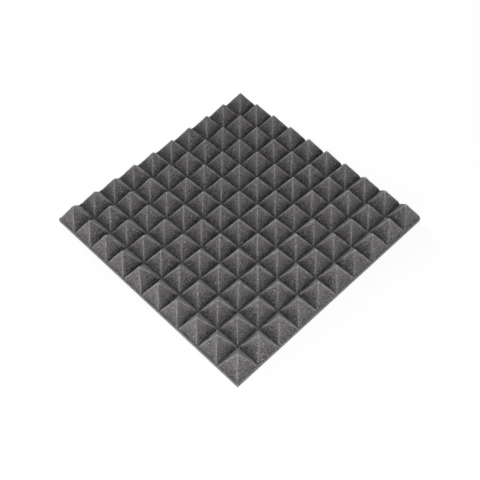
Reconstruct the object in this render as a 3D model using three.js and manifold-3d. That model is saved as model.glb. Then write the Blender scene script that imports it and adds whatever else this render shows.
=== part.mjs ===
// A square acoustic foam panel of pyramids, with the self-adhesive back that fixes it to a wall.
//
// Millimetres, +Z up. The panel lies on its back on Z = 0 with its pyramids up, and the origin is under its middle.
// From the back up it holds a release liner in two halves, a film of adhesive, and one piece of foam.
// The halves of the liner meet at a slit along Y, and each slides away sideways as it is peeled off.
import * as THREE from "three";
import { mergeVertices } from "three/addons/utils/BufferGeometryUtils.js";
import Module from "manifold-3d";

const wasm = await Module();
wasm.setup();

// Foam: a wide sheet of open-cell polyurethane, cut into pyramids by two passes of a profiled blade.
const pyramidPitch = 50; // from one valley to the next
const pyramidsAcross = 10; // along X
const pyramidsDeep = 10; // along Y
const pyramidHeight = 38.5; // from the floor of a valley to a tip
const sheetThickness = 9; // foam left whole under the valleys
const valleyWidth = 0.8; // flat floor that the blade's nose leaves
const tipWidth = 1.6; // blunt top of a pyramid
const bladeOverrun = 5; // how far each cut runs past the foam

// Where the panel is then cut out of the sheet, measured outwards from the valley nearest to each side.
const leftCut = 0.5;
const rightCut = 0.5;
const frontCut = 1; // leaves a lip outside the valley
const rearCut = -3; // goes through the last row of pyramids

// Self-adhesive back: a film of acrylic adhesive, and the liner that covers it until the panel is put up.
const adhesiveThickness = 0.2;
const linerThickness = 0.15;
const linerSlit = 0.8; // gap between the halves of the liner, which a finger opens

const panelWidth = pyramidsAcross * pyramidPitch + leftCut + rightCut;
const panelDepth = pyramidsDeep * pyramidPitch + frontCut + rearCut;
const foamBack = linerThickness + adhesiveThickness; // height of the foam's flat back
const foamThickness = sheetThickness + pyramidHeight;

// A closed geometry as a solid that can be cut.
function solidOf(geometry) {
  const bare = geometry.clone();
  bare.deleteAttribute("normal");
  bare.deleteAttribute("uv");
  const merged = mergeVertices(bare);
  const mesh = new wasm.Mesh({
    numProp: 3,
    vertProperties: new Float32Array(merged.attributes.position.array),
    triVerts: new Uint32Array(merged.index.array),
  });
  return new wasm.Manifold(mesh);
}

// A cut solid as a geometry again.
function geometryOf(solid) {
  const { vertProperties, triVerts } = solid.getMesh();
  const geometry = new THREE.BufferGeometry();
  geometry.setAttribute("position", new THREE.BufferAttribute(vertProperties, 3));
  geometry.setIndex(new THREE.BufferAttribute(triVerts, 1));
  geometry.computeVertexNormals();
  return geometry;
}

// A plate over the middle of the origin, with its lower face at the height given.
function plate(width, depth, thickness, bottom) {
  const geometry = new THREE.BoxGeometry(width, depth, thickness);
  geometry.translate(0, 0, bottom + thickness / 2);
  return geometry;
}

// What one pass of the blade leaves: ridges side by side along X from start, each running the whole length along Y.
// One more ridge than the panel shows lies on either side of it, because the sheet is wider than the panel.
function ridges(count, start, length) {
  const valleyHeight = foamBack + sheetThickness;
  const tipHeight = foamBack + foamThickness;
  const first = start - pyramidPitch;
  const last = start + (count + 1) * pyramidPitch;
  const outline = new THREE.Shape();
  outline.moveTo(first, foamBack - bladeOverrun);
  outline.lineTo(last, foamBack - bladeOverrun);
  outline.lineTo(last, valleyHeight);
  for (let ridge = count; ridge >= -1; ridge -= 1) {
    const left = start + ridge * pyramidPitch;
    const middle = left + pyramidPitch / 2;
    outline.lineTo(left + pyramidPitch - valleyWidth / 2, valleyHeight);
    outline.lineTo(middle + tipWidth / 2, tipHeight);
    outline.lineTo(middle - tipWidth / 2, tipHeight);
    outline.lineTo(left + valleyWidth / 2, valleyHeight);
  }
  outline.lineTo(first, valleyHeight);
  const geometry = new THREE.ExtrudeGeometry(outline, { depth: length, bevelEnabled: false });
  geometry.translate(0, 0, -length / 2);
  geometry.rotateX(Math.PI / 2); // the outline stands up, and the ridges run along Y
  return geometry;
}

// The foam: a block cut to size, and what both passes of the blade have in common, which is pyramids.
function foamGeometry() {
  const block = solidOf(plate(panelWidth, panelDepth, foamThickness + bladeOverrun, foamBack));
  const firstPass = solidOf(ridges(pyramidsAcross, leftCut - panelWidth / 2, panelDepth + 2 * bladeOverrun));
  const secondPass = solidOf(
    ridges(pyramidsDeep, frontCut - panelDepth / 2, panelWidth + 2 * bladeOverrun).rotateZ(Math.PI / 2),
  );
  return geometryOf(block.intersect(firstPass).intersect(secondPass));
}

// Half of the release liner. side is -1 for the half at -X, and 1 for the half at +X.
function linerHalf(side) {
  const width = (panelWidth - linerSlit) / 2;
  const half = plate(width, panelDepth, linerThickness, 0);
  half.translate((side * (linerSlit + width)) / 2, 0, 0);
  return half;
}

const foamMaterial = new THREE.MeshStandardMaterial({
  color: 0x5a595b,
  roughness: 1,
  metalness: 0,
  flatShading: true,
});
const adhesiveMaterial = new THREE.MeshStandardMaterial({ color: 0x4a4a4b, roughness: 0.35, metalness: 0 });
const linerMaterial = new THREE.MeshStandardMaterial({ color: 0xd8c48e, roughness: 0.5, metalness: 0 });

const panel = new THREE.Group();

function addPiece(name, geometry, material) {
  const piece = new THREE.Mesh(geometry, material);
  piece.name = name;
  panel.add(piece);
}

addPiece("foam_absorber", foamGeometry(), foamMaterial);
addPiece("adhesive_film", plate(panelWidth, panelDepth, adhesiveThickness, linerThickness), adhesiveMaterial);
addPiece("release_liner_left", linerHalf(-1), linerMaterial);
addPiece("release_liner_right", linerHalf(1), linerMaterial);

export default panel;
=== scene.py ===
"""An acoustic foam panel of pyramids, with its self-adhesive back, lying on a white table.

Lengths and places are in metres, with the front of the panel towards -Y and its right side towards +X.
"""

import math

import bpy
import numpy as np
from mathutils import Matrix, Vector


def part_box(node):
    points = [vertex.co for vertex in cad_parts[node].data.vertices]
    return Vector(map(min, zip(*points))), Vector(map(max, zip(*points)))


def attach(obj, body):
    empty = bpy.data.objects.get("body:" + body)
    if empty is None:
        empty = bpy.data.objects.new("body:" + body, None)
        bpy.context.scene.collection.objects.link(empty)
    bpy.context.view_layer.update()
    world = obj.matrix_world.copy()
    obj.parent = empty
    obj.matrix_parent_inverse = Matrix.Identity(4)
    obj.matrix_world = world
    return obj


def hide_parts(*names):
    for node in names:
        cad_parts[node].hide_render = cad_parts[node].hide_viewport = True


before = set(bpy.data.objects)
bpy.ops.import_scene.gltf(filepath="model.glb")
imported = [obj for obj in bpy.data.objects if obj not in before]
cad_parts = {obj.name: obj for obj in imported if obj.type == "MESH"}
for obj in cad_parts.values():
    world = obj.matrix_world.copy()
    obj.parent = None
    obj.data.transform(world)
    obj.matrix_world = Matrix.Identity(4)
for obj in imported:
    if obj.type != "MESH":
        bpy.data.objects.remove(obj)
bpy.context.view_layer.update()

# Camera: 1.4 m from the middle of the panel, above its front right corner, and turned slightly about its
# view. Its distance, angles and focal length are those at which the panel's valleys, tips and sides take
# their places in the photograph. It aims at a point on the table, a little in front of the panel's middle.
AIM = Vector((0.0341, -0.0303, 0.0))
AIM_DISTANCE = 1.369
CAMERA_AZIMUTH = math.radians(46.65)
CAMERA_ELEVATION = math.radians(52.95)
CAMERA_ROLL = math.radians(-1.54)
SENSOR_WIDTH_MM = 36.0
FOCAL_LENGTH_MM = 53.33


def direction(azimuth, elevation):
    """The unit vector at an azimuth, counted in radians from the front to the right, and an elevation."""
    level = math.cos(elevation)
    return Vector((math.sin(azimuth) * level, -math.cos(azimuth) * level, math.sin(elevation)))


back = direction(CAMERA_AZIMUTH, CAMERA_ELEVATION)
camera = bpy.data.objects.new("camera", bpy.data.cameras.new("camera"))
bpy.context.scene.collection.objects.link(camera)
camera.data.sensor_width = SENSOR_WIDTH_MM
camera.data.lens = FOCAL_LENGTH_MM
turned = (-back).to_track_quat("-Z", "Y").to_matrix() @ Matrix.Rotation(CAMERA_ROLL, 3, "Z")
camera.matrix_world = Matrix.Translation(AIM + back * AIM_DISTANCE) @ turned.to_4x4()
bpy.context.scene.camera = camera

# Foam absorber: one sheet of flexible open-cell polyurethane foam, anthracite, which soaks up sound in its
# cells. A profiled blade cuts it twice, once along each side, and leaves square pyramids on a thin whole
# sheet. It is then cut from a wider sheet, a little off the valleys, and held by the film on its back.
PITCH = 0.050
VALLEY_WIDTH = 0.0008
TIP_WIDTH = 0.0016
SHEET_THICKNESS = 0.009
LEFT_CUT = 0.0005
FRONT_CUT = 0.001
FACE_STEPS = 13
WALL_STEPS = 4
LEAST_STEP = 0.00015
TIP_ROUNDING = 0.0005
RIDGE_ROUNDING = 0.0008
TIP_LEAN = 0.0004
TIP_SINK = 0.0003
WAVINESS = 0.00018
WAVE_LENGTH = 0.012
WAVE_LENGTH_SHARES = (0.6, 1.6)
CELL_ROUGHNESS = 0.00007
# Ridge and tip fuzz: pale fuzz on the cut cells, partly a painted highlight along the ridges and round the
# tips.
RIDGE_FUZZ_HIGHLIGHT_WIDTH = 0.0009
FUZZ_HIGHLIGHT_LEAN = 0.0010
FUZZ_HIGHLIGHT_TAPER = 1.7
RIDGE_HEIGHT_SHARES = (0.0, 0.10, 1.0)
RIDGE_FUZZ_HIGHLIGHT_SHARES = (0.16, 0.39, 0.49)
TIP_FUZZ_HIGHLIGHT_WIDTH = 0.0038
TIP_FUZZ_HIGHLIGHT = 0.90
FAR_OFF = 100.0
FUZZ_HIGHLIGHT_DENSITIES = (0.5, 1.4)
# Walls and rim: painted evenly paler, partly the saw's fuzz and partly painted light thrown up by the white
# table.
WALL_FUZZ_AND_LIGHT = 0.12
RIM_FUZZ_AND_LIGHT = 0.16
RIM_REACH = 0.0015
SHARP_ANGLE = math.radians(66)
SEED = 20
WAVES = 32

# A Mix node's colour sockets share their names with its number sockets, so they are called by their places.
FIRST_COLOUR, SECOND_COLOUR, MIXED_COLOUR = 6, 7, 2


def add_object(name, mesh, material):
    """A new object that holds the mesh, at the origin, in the finish given."""
    made = bpy.data.objects.new(name, mesh)
    bpy.context.scene.collection.objects.link(made)
    mesh.materials.append(material)
    return made


def linear(colour):
    """The linear red, green, blue and alpha of an sRGB hex colour such as #6b6a6c."""
    shares = np.array([int(colour[i : i + 2], 16) for i in (1, 3, 5)]) / 255
    values = np.where(shares <= 0.04045, shares / 12.92, ((shares + 0.055) / 1.055) ** 2.4)
    return (*values.tolist(), 1.0)


def add_node(owner, kind, values=None, links=None, **settings):
    """A shader node in a material or world, with its settings, its sockets' values and what feeds them."""
    made = owner.node_tree.nodes.new(kind)
    for name, value in settings.items():
        setattr(made, name, value)
    for socket, value in (values or {}).items():
        made.inputs[socket].default_value = value
    for socket, source in (links or {}).items():
        owner.node_tree.links.new(source, made.inputs[socket])
    return made


def new_material(name):
    """An empty node material and the socket that its surface goes into."""
    material = bpy.data.materials.new(name)
    material.use_nodes = True
    material.node_tree.nodes.clear()
    return material, add_node(material, "ShaderNodeOutputMaterial").inputs["Surface"]


def ripple(x, y, seed, wave_length, amount):
    """A smooth random shift over a plane: a sum of cosine waves of about one length, in all directions.

    Each wave is the cosine of its phase plus its pace times the way along its heading. All are equally
    strong, so that the root mean square of their sum is the amount given.
    """
    draw = np.random.default_rng(seed)
    heading = draw.uniform(0, 2 * np.pi, WAVES)
    pace = 2 * np.pi / (wave_length * draw.uniform(*WAVE_LENGTH_SHARES, WAVES))
    phase = draw.uniform(0, 2 * np.pi, WAVES)
    along = x[..., None] * (pace * np.cos(heading)) + y[..., None] * (pace * np.sin(heading))
    return amount * np.sqrt(2 / WAVES) * np.cos(along + phase).sum(-1)


def blade_lines(first_valley, low, high):
    """Grid lines across the pyramids: at the blade's corners, evenly in between, and at both cut sides."""
    face = np.linspace(VALLEY_WIDTH / 2, (PITCH - TIP_WIDTH) / 2, FACE_STEPS + 1)
    pyramid = np.concatenate(([0], face, [PITCH / 2], PITCH - face[::-1]))
    rows = first_valley + PITCH * np.arange(-1, math.ceil((high - low) / PITCH) + 1)
    lines = (rows[:, None] + pyramid).ravel()
    inside = lines[(lines > low + LEAST_STEP) & (lines < high - LEAST_STEP)]
    return np.concatenate(([low], inside, [high]))


def soft_least(a, b, rounding):
    """The lesser of two heights, with the crest where they cross rounded off.

    Where they differ by less than the rounding, a quarter of the rounding comes off, times the square of
    the share by which they fall short of it.
    """
    band = np.clip(1 - np.abs(a - b) / rounding, 0, 1)
    return np.minimum(a, b) - band**2 * rounding / 4


def foam_surface(x, y, low, high):
    """The cut foam's height over x and y, its ridges' fuzz and painted highlight, and how far off ridge and
    tip each point is.

    Across one pass a pyramid rises at an even slope from its valley to its tip. Both passes cut the same
    foam, so the height is the lesser of the two, rounded at the tip and along the four ridges where the
    passes meet. The pale line along each ridge, partly fuzz and partly a painted highlight, lies a little in
    front of the ridge, and the more so the lower it stands, as the second pass drags the fuzz forward. The
    distances, as shares of its width, are from there and from the middle of the tip.
    """
    valley = low.z + SHEET_THICKNESS
    height = high.z - valley
    slope = height / ((PITCH - TIP_WIDTH - VALLEY_WIDTH) / 2)
    off_valley_x = np.abs((x - low.x - LEFT_CUT + PITCH / 2) % PITCH - PITCH / 2)
    off_valley_y = np.abs((y - low.y - FRONT_CUT + PITCH / 2) % PITCH - PITCH / 2)
    passes = [
        soft_least(np.maximum(off_valley - VALLEY_WIDTH / 2, 0) * slope, height, TIP_ROUNDING)
        for off_valley in (off_valley_x, off_valley_y)
    ]
    z = valley + soft_least(*passes, RIDGE_ROUNDING)
    share = (z - valley) / height
    spread = FUZZ_HIGHLIGHT_TAPER - share
    leant_y = np.abs((y + spread * FUZZ_HIGHLIGHT_LEAN - low.y - FRONT_CUT + PITCH / 2) % PITCH - PITCH / 2)
    fuzz_and_highlight = np.interp(share, RIDGE_HEIGHT_SHARES, RIDGE_FUZZ_HIGHLIGHT_SHARES)
    off_ridge = (off_valley_x - leant_y) / (spread * RIDGE_FUZZ_HIGHLIGHT_WIDTH)
    off_tip = np.hypot(PITCH / 2 - off_valley_x, PITCH / 2 - off_valley_y) / TIP_FUZZ_HIGHLIGHT_WIDTH
    return z, fuzz_and_highlight, off_ridge, off_tip


def foam_mesh():
    """The panel of foam as one closed surface: its cut top, its four sawn sides and its flat back.

    The top is a grid whose lines lie on the blade's corners, split into triangles along the ridges. Each
    tip leans and sinks by a little of its own, by a share that grows with height, and slow ripples bend the
    faces, as the blade drags soft foam. The fuzz and its painted highlight are made thinner or thicker at
    random from point to point. The walls, and the top's last millimetre and a half by the rim, are painted
    evenly paler, as the saw's fuzz and as painted light from the white table. Each wall hangs from the rim in
    rows of equal height.
    """
    low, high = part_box("foam_absorber")
    xs = blade_lines(low.x + LEFT_CUT, low.x, high.x)
    ys = blade_lines(low.y + FRONT_CUT, low.y, high.y)
    x, y = np.meshgrid(xs, ys, indexing="ij")
    z, fuzz_and_highlight, off_ridge, off_tip = foam_surface(x, y, low, high)

    draw = np.random.default_rng(SEED)
    fuzz_and_highlight = fuzz_and_highlight * draw.uniform(*FUZZ_HIGHLIGHT_DENSITIES, fuzz_and_highlight.shape)
    column = ((x - low.x - LEFT_CUT) // PITCH).astype(int) + 1
    row = ((y - low.y - FRONT_CUT) // PITCH).astype(int) + 1
    pyramids = (column.max() + 1, row.max() + 1)
    share = np.clip((z - low.z - SHEET_THICKNESS) / (high.z - low.z - SHEET_THICKNESS), 0, 1)
    rim_gap = np.minimum(np.minimum(x - low.x, high.x - x), np.minimum(y - low.y, high.y - y))
    inner = rim_gap > 0
    # Painted light: the top within reach of the rim is painted evenly paler, like the walls.
    fuzz_and_highlight = np.where(rim_gap > RIM_REACH, fuzz_and_highlight, RIM_FUZZ_AND_LIGHT)
    off_ridge = np.where(rim_gap > RIM_REACH, off_ridge, 0)
    lean_x, lean_y, sink = draw.normal(size=(3, *pyramids))
    x = x + inner * (share * TIP_LEAN * lean_x[column, row] + ripple(x, y, SEED + 1, WAVE_LENGTH, WAVINESS))
    y = y + inner * (share * TIP_LEAN * lean_y[column, row] + ripple(x, y, SEED + 2, WAVE_LENGTH, WAVINESS))
    z = z - share * TIP_SINK * np.abs(sink[column, row])
    z = z + inner * draw.normal(size=z.shape) * CELL_ROUGHNESS

    number = np.arange(x.size).reshape(x.shape)
    near, right = number[:-1, :-1].ravel(), number[1:, :-1].ravel()
    far, left = number[1:, 1:].ravel(), number[:-1, 1:].ravel()
    middle_x = ((xs[1:] + xs[:-1]) / 2 - low.x - LEFT_CUT) % PITCH > PITCH / 2
    middle_y = ((ys[1:] + ys[:-1]) / 2 - low.y - FRONT_CUT) % PITCH > PITCH / 2
    split = (middle_x[:, None] == middle_y).ravel()[:, None]
    first = np.where(split, np.stack((near, right, far), -1), np.stack((near, right, left), -1))
    second = np.where(split, np.stack((near, far, left), -1), np.stack((right, far, left), -1))

    rim = np.concatenate((number[:, 0], number[-1, 1:], number[-2::-1, -1], number[0, -2:0:-1]))
    top = np.stack((x, y, z), -1).reshape(-1, 3)
    down = np.linspace(1, 0, WALL_STEPS + 1)[1:, None]
    wall_z = low.z + down * (top[rim, 2] - low.z)
    wall = np.stack((*np.broadcast_arrays(top[rim, 0], top[rim, 1], wall_z),), -1).reshape(-1, 3)
    ring = np.concatenate((rim[None], top.shape[0] + np.arange(len(wall)).reshape(WALL_STEPS, -1)))
    upper, lower = ring[:-1], ring[1:]
    turn = [np.roll(edge, -1, axis=1) for edge in (upper, lower)]
    sides = np.stack((upper, lower, turn[1], turn[0]), -1).reshape(-1, 4)

    mesh = bpy.data.meshes.new("foam_absorber_cut")
    corners = np.concatenate((top, wall))
    faces = [*first.tolist(), *second.tolist(), *sides.tolist(), ring[-1][::-1].tolist()]
    mesh.from_pydata(corners.tolist(), [], faces)
    # The walls carry an even paleness: the saw's fuzz and painted light from the table.
    marks = {"fuzz_and_highlight": (fuzz_and_highlight, WALL_FUZZ_AND_LIGHT), "off_ridge": (off_ridge, 0.0), "off_tip": (off_tip, FAR_OFF)}
    for name, (on_top, on_wall) in marks.items():
        values = np.concatenate((on_top.ravel(), np.full(len(wall), on_wall))).astype(np.float32)
        mesh.attributes.new(name, "FLOAT", "POINT").data.foreach_set("value", values)
    mesh.shade_smooth()
    mesh.set_sharp_from_angle(angle=SHARP_ANGLE)
    return mesh


def foam_material():
    """Flexible polyurethane foam with cut open cells: quite matt, with dark pores between paler struts, a few
    flecks painted near white as glints of torn cell walls, and pale fuzz on the ridges and tips, where the
    cut cells stand up, which is partly a painted highlight.

    It is darker in the valleys and paler towards the tips, as painted shade and light. The fuzz and its
    painted highlight fall off from a ridge's line as one over one plus the square of the distance, and round
    a tip by a smooth step. Real cells are under a millimetre across, finer than the render shows, so they
    are drawn 1.4 mm across.
    """
    # Of these colours, the third is a painted glint, and the fourth is pale fuzz that is partly a painted
    # highlight.
    pore, strut, painted_glint_colour, fuzz_and_highlight = "#241c27", "#939092", "#f4f2f0", "#e4e2e1"
    cell, mottle, fleck_spacing, pore_depth = 0.0014, 0.006, 0.0040, 0.0006
    open_chance, closed_chance = 0.20, 0.80
    strut_edge, strut_fade = 0.02, 0.12
    cloud_low, cloud_high, mottling = 0.3, 0.7, 0.02
    # Painted shade and light: the foam darkens towards its valley floor and pales towards its tips.
    painted_valley_shade, painted_tip_light, painted_light_top_height = -0.16, 0.125, 0.033
    dull_chance, glint_chance = 0.80, 0.95
    fleck_edge, fleck_core = 0.27, 0.16
    fuzz_highlight_over_pores = 0.5
    material, surface = new_material("open_cell_polyurethane_foam")
    place = add_node(material, "ShaderNodeTexCoord").outputs["Object"]
    cells = add_node(
        material,
        "ShaderNodeTexVoronoi",
        {"Scale": 1 / cell},
        {"Vector": place},
    ).outputs["Color"]
    chance = add_node(
        material,
        "ShaderNodeSeparateColor",
        links={"Color": cells},
    ).outputs["Red"]
    membrane = add_node(
        material,
        "ShaderNodeMapRange",
        {"From Min": open_chance, "From Max": closed_chance},
        {"Value": chance},
    ).outputs["Result"]
    strut_gap = add_node(
        material,
        "ShaderNodeTexVoronoi",
        {"Scale": 1 / cell},
        {"Vector": place},
        feature="DISTANCE_TO_EDGE",
    ).outputs["Distance"]
    opening = add_node(
        material,
        "ShaderNodeMapRange",
        {"From Min": strut_edge, "From Max": strut_fade},
        {"Value": strut_gap},
    ).outputs["Result"]
    solid = add_node(
        material,
        "ShaderNodeMix",
        {"A": 1.0},
        {"Factor": opening, "B": membrane},
        data_type="FLOAT",
    ).outputs["Result"]
    clouds = add_node(
        material,
        "ShaderNodeTexNoise",
        {"Scale": 1 / mottle, "Detail": 2.0, "Roughness": 0.5},
        {"Vector": place},
    ).outputs["Fac"]
    mottled = add_node(
        material,
        "ShaderNodeMapRange",
        {"From Min": cloud_low, "From Max": cloud_high, "To Min": -mottling, "To Max": mottling},
        {"Value": clouds},
    ).outputs["Result"]
    height = add_node(material, "ShaderNodeSeparateXYZ", links={"Vector": place}).outputs["Z"]
    # Painted shade and light by height: darker in the valleys, paler at the tips.
    painted_height_shade = add_node(
        material,
        "ShaderNodeMapRange",
        {"From Min": SHEET_THICKNESS, "From Max": painted_light_top_height, "To Min": painted_valley_shade, "To Max": painted_tip_light},
        {"Value": height},
    ).outputs["Result"]
    shift = add_node(
        material,
        "ShaderNodeMath",
        links={0: painted_height_shade, 1: mottled},
        operation="ADD",
    ).outputs["Value"]
    grain_and_painted_shade = add_node(
        material,
        "ShaderNodeMath",
        links={0: solid, 1: shift},
        operation="ADD",
    ).outputs["Value"]
    colour = add_node(
        material,
        "ShaderNodeMix",
        {FIRST_COLOUR: linear(pore), SECOND_COLOUR: linear(strut)},
        {"Factor": grain_and_painted_shade},
        data_type="RGBA",
        clamp_factor=False,
    ).outputs[MIXED_COLOUR]
    # Painted glints: a few near-white flecks stand for torn cell walls catching the light.
    flecks = add_node(
        material,
        "ShaderNodeTexVoronoi",
        {"Scale": 1 / fleck_spacing},
        {"Vector": place},
    )
    chance = add_node(
        material,
        "ShaderNodeSeparateColor",
        links={"Color": flecks.outputs["Color"]},
    ).outputs["Red"]
    picked = add_node(
        material,
        "ShaderNodeMapRange",
        {"From Min": dull_chance, "From Max": glint_chance},
        {"Value": chance},
    ).outputs["Result"]
    spot = add_node(
        material,
        "ShaderNodeMapRange",
        {"From Min": fleck_edge, "From Max": fleck_core},
        {"Value": flecks.outputs["Distance"]},
    ).outputs["Result"]
    glint = add_node(
        material,
        "ShaderNodeMath",
        links={0: picked, 1: spot},
        operation="MULTIPLY",
    ).outputs["Value"]
    colour = add_node(
        material,
        "ShaderNodeMix",
        {SECOND_COLOUR: linear(painted_glint_colour)},
        {"Factor": glint, FIRST_COLOUR: colour},
        data_type="RGBA",
    ).outputs[MIXED_COLOUR]
    # Pale fuzz along the ridges and round the tips, partly a painted highlight.
    fuzz_and_highlight_amount, off_ridge, off_tip = (
        add_node(material, "ShaderNodeAttribute", attribute_name=name).outputs["Fac"]
        for name in ("fuzz_and_highlight", "off_ridge", "off_tip")
    )
    falling = add_node(
        material,
        "ShaderNodeMath",
        {2: 1.0},
        {0: off_ridge, 1: off_ridge},
        operation="MULTIPLY_ADD",
    ).outputs["Value"]
    line = add_node(
        material,
        "ShaderNodeMath",
        links={0: fuzz_and_highlight_amount, 1: falling},
        operation="DIVIDE",
    ).outputs["Value"]
    cap = add_node(
        material,
        "ShaderNodeMapRange",
        {"From Min": 1.0, "From Max": 0.0, "To Max": TIP_FUZZ_HIGHLIGHT},
        {"Value": off_tip},
        interpolation_type="SMOOTHSTEP",
    ).outputs["Result"]
    edge = add_node(
        material,
        "ShaderNodeMath",
        links={0: line, 1: cap},
        operation="MAXIMUM",
    ).outputs["Value"]
    standing = add_node(
        material,
        "ShaderNodeMapRange",
        {"To Min": fuzz_highlight_over_pores},
        {"Value": solid},
    ).outputs["Result"]
    frayed_and_highlit = add_node(
        material,
        "ShaderNodeMath",
        links={0: edge, 1: standing},
        operation="MULTIPLY",
    ).outputs["Value"]
    colour = add_node(
        material,
        "ShaderNodeMix",
        {SECOND_COLOUR: linear(fuzz_and_highlight)},
        {"Factor": frayed_and_highlit, FIRST_COLOUR: colour},
        data_type="RGBA",
    ).outputs[MIXED_COLOUR]
    relief = add_node(
        material,
        "ShaderNodeBump",
        {"Strength": 0.6, "Distance": pore_depth},
        {"Height": solid},
    ).outputs["Normal"]
    shader = add_node(
        material,
        "ShaderNodeBsdfPrincipled",
        {
            "Roughness": 1.0,
            "Diffuse Roughness": 1.0,
            "Specular IOR Level": 0.0,
            "Sheen Weight": 0.4,
            "Sheen Roughness": 0.4,
        },
        {"Base Color": colour, "Normal": relief},
    )
    material.node_tree.links.new(shader.outputs["BSDF"], surface)
    return material


foam = add_object("foam_absorber_cut", foam_mesh(), foam_material())
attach(foam, "panel")
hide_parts("foam_absorber")


# Adhesive film: clear acrylic adhesive, coated on both sides of a thin scrim of polyester threads, and
# rolled onto the foam's back in one sheet. The dark foam shows through, and the threads make a pale net.


def put_material(node, material):
    """Gives a piece that the frame already holds its finish."""
    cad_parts[node].data.materials.clear()
    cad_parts[node].data.materials.append(material)


def adhesive_material():
    """Tacky clear acrylic over dark foam: smooth, wet-looking, dark, with the scrim's threads as a pale net.

    Real threads lie about 4 mm apart, finer than the render shows, so they are drawn 8 mm apart and twice
    as thick.
    """
    clear, thread = "#3c3b3d", "#77757a"
    thread_spacing, thread_width, thread_relief, streak = 0.008, 0.0010, 0.0002, 0.03
    streak_low, streak_high, wettest, dullest = 0.3, 0.7, 0.18, 0.36
    material, surface = new_material("acrylic_adhesive_on_scrim")
    place = add_node(material, "ShaderNodeTexCoord").outputs["Object"]
    axes = add_node(material, "ShaderNodeSeparateXYZ", links={"Vector": place})
    threads = []
    for axis in ("X", "Y"):
        off = add_node(
            material,
            "ShaderNodeMath",
            {1: thread_spacing / 2},
            {0: axes.outputs[axis]},
            operation="PINGPONG",
        ).outputs["Value"]
        threads.append(
            add_node(
                material,
                "ShaderNodeMapRange",
                {"From Min": thread_width / 2, "From Max": thread_width},
                {"Value": off},
            ).outputs["Result"]
        )
    gap = add_node(
        material,
        "ShaderNodeMath",
        links={0: threads[0], 1: threads[1]},
        operation="MINIMUM",
    ).outputs["Value"]
    colour = add_node(
        material,
        "ShaderNodeMix",
        {FIRST_COLOUR: linear(thread), SECOND_COLOUR: linear(clear)},
        {"Factor": gap},
        data_type="RGBA",
    ).outputs[MIXED_COLOUR]
    streaks = add_node(
        material,
        "ShaderNodeTexNoise",
        {"Scale": 1 / streak, "Detail": 3.0},
        {"Vector": place},
    ).outputs["Fac"]
    dullness = add_node(
        material,
        "ShaderNodeMapRange",
        {"From Min": streak_low, "From Max": streak_high, "To Min": wettest, "To Max": dullest},
        {"Value": streaks},
    ).outputs["Result"]
    relief = add_node(
        material,
        "ShaderNodeBump",
        {"Strength": 0.4, "Distance": thread_relief},
        {"Height": gap},
        invert=True,
    ).outputs["Normal"]
    shader = add_node(
        material,
        "ShaderNodeBsdfPrincipled",
        {"IOR": 1.47},
        {"Base Color": colour, "Roughness": dullness, "Normal": relief},
    )
    material.node_tree.links.new(shader.outputs["BSDF"], surface)
    return material


put_material("adhesive_film", adhesive_material())

# Release liner: glassine paper coated with silicone on the side that faces the adhesive, yellow so that it
# is seen. It is slit down the middle, so that it peels off in two halves.


def liner_material():
    """Glassine, a dense calendered paper: smooth, softly shining, with faint clouds and fibres in yellow."""
    pale, deep = "#e6d39c", "#dcc588"
    cloud, fibre, fibre_relief = 0.02, 0.0016, 0.0001
    fibre_stretch, fibre_share, thin, thick = 0.25, 0.4, 0.35, 0.65
    material, surface = new_material("silicone_coated_glassine_paper")
    place = add_node(material, "ShaderNodeTexCoord").outputs["Object"]
    drawn = add_node(
        material,
        "ShaderNodeMapping",
        {"Scale": (1.0, fibre_stretch, 1.0)},
        {"Vector": place},
    ).outputs["Vector"]
    clouds = add_node(
        material,
        "ShaderNodeTexNoise",
        {"Scale": 1 / cloud, "Detail": 3.0},
        {"Vector": place},
    ).outputs["Fac"]
    fibres = add_node(
        material,
        "ShaderNodeTexNoise",
        {"Scale": 1 / fibre, "Detail": 1.0},
        {"Vector": drawn},
    ).outputs["Fac"]
    formation = add_node(
        material,
        "ShaderNodeMix",
        {"Factor": fibre_share},
        {"A": clouds, "B": fibres},
        data_type="FLOAT",
    ).outputs["Result"]
    depth = add_node(
        material,
        "ShaderNodeMapRange",
        {"From Min": thin, "From Max": thick},
        {"Value": formation},
    ).outputs["Result"]
    colour = add_node(
        material,
        "ShaderNodeMix",
        {FIRST_COLOUR: linear(deep), SECOND_COLOUR: linear(pale)},
        {"Factor": depth},
        data_type="RGBA",
    ).outputs[MIXED_COLOUR]
    relief = add_node(
        material,
        "ShaderNodeBump",
        {"Strength": 0.15, "Distance": fibre_relief},
        {"Height": fibres},
    ).outputs["Normal"]
    shader = add_node(
        material,
        "ShaderNodeBsdfPrincipled",
        {"Roughness": 0.5, "IOR": 1.45},
        {"Base Color": colour, "Normal": relief},
    )
    material.node_tree.links.new(shader.outputs["BSDF"], surface)
    return material


glassine = liner_material()
put_material("release_liner_left", glassine)
put_material("release_liner_right", glassine)

# Table: a wide white table top that runs out of view, a hair under the panel, so that no two faces share a
# plane. The camera sees it white, but for the panel's shadow, and it lights the panel as laminate would.
TABLE_SIZE = 8.0
TABLE_WHITE = "#f2f2f2"
GLOW = 0.90
SHADE_SHARE = 0.18
TABLE_DROP = 0.0002


def seen_directly(owner):
    """An output that is 1 where the camera sees a point, or sees it reflected, and 0 for all other light."""
    path = add_node(owner, "ShaderNodeLightPath")
    return add_node(
        owner,
        "ShaderNodeMath",
        links={0: path.outputs["Is Camera Ray"], 1: path.outputs["Is Glossy Ray"]},
        operation="MAXIMUM",
    ).outputs["Value"]


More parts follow.
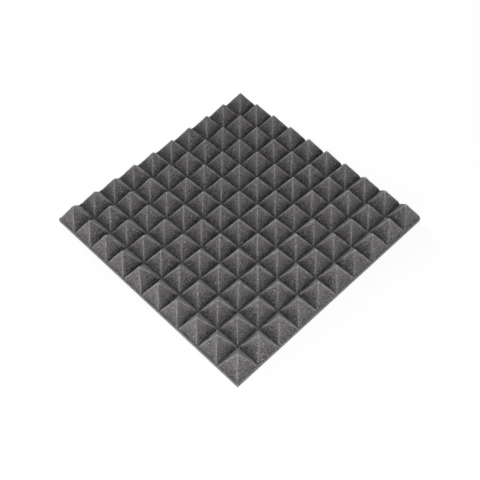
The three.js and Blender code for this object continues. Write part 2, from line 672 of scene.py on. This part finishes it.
def table_material():
    """White laminate: plain diffuse white for the light that it throws back, brighter where it is seen."""
    material, surface = new_material("white_laminate")
    plain = add_node(material, "ShaderNodeBsdfDiffuse", {"Color": linear(TABLE_WHITE)})
    shaded = add_node(
        material,
        "ShaderNodeBsdfDiffuse",
        {"Color": (SHADE_SHARE, SHADE_SHARE, SHADE_SHARE, 1.0)},
    )
    glow = add_node(material, "ShaderNodeEmission", {"Strength": GLOW})
    bright = add_node(material, "ShaderNodeAddShader", links={0: shaded.outputs[0], 1: glow.outputs[0]})
    mixed = add_node(
        material,
        "ShaderNodeMixShader",
        links={0: seen_directly(material), 1: plain.outputs[0], 2: bright.outputs[0]},
    )
    material.node_tree.links.new(mixed.outputs[0], surface)
    return material


table_mesh = bpy.data.meshes.new("table_top")
half = TABLE_SIZE / 2
corners = [(x * half, y * half, -TABLE_DROP) for x, y in ((-1, -1), (1, -1), (1, 1), (-1, 1))]
table_mesh.from_pydata(corners, [], [(0, 1, 2, 3)])
table = add_object("table_top", table_mesh, table_material())

# Light: a small white studio. One large soft box stands just right of the camera, one to its left and a
# strong one behind the panel on the left, and a small one lies low on either side. They all stand lower
# than the camera, so that they light the faces evenly and leave the valleys dark.
SKY_STRENGTH = 0.075
BOX_DISTANCE = 1.7
SOFT_BOXES = {
    "soft_box_front": {"azimuth": 55, "elevation": 35, "size": 1.0, "power": 9.2},
    "soft_box_left": {"azimuth": 16, "elevation": 20, "size": 1.0, "power": 5.4},
    "soft_box_rear": {"azimuth": 248, "elevation": 20, "size": 1.0, "power": 25.5},
    "low_box_left": {"azimuth": -3, "elevation": 10, "size": 0.6, "power": 6.3},
    "low_box_right": {"azimuth": 92, "elevation": 10, "size": 0.6, "power": 4.0},
}

world = bpy.data.worlds.new("white_studio")
bpy.context.scene.world = world
world.use_nodes = True
world.node_tree.nodes.clear()
sky = add_node(world, "ShaderNodeBackground", {"Color": (1.0, 1.0, 1.0, 1.0), "Strength": SKY_STRENGTH})
backdrop = add_node(world, "ShaderNodeBackground", {"Color": (1.0, 1.0, 1.0, 1.0), "Strength": 1.0})
studio = add_node(
    world,
    "ShaderNodeMixShader",
    links={0: seen_directly(world), 1: sky.outputs[0], 2: backdrop.outputs[0]},
)
add_node(world, "ShaderNodeOutputWorld", links={"Surface": studio.outputs[0]})

for name, box in SOFT_BOXES.items():
    toward = direction(math.radians(box["azimuth"]), math.radians(box["elevation"]))
    soft_box = bpy.data.objects.new(name, bpy.data.lights.new(name, "AREA"))
    bpy.context.scene.collection.objects.link(soft_box)
    soft_box.data.shape = "SQUARE"
    soft_box.data.size = box["size"]
    soft_box.data.energy = box["power"]
    soft_box.location = toward * BOX_DISTANCE
    soft_box.rotation_euler = (-toward).to_track_quat("-Z", "Y").to_euler()

bpy.context.scene.view_settings.view_transform = "Standard"
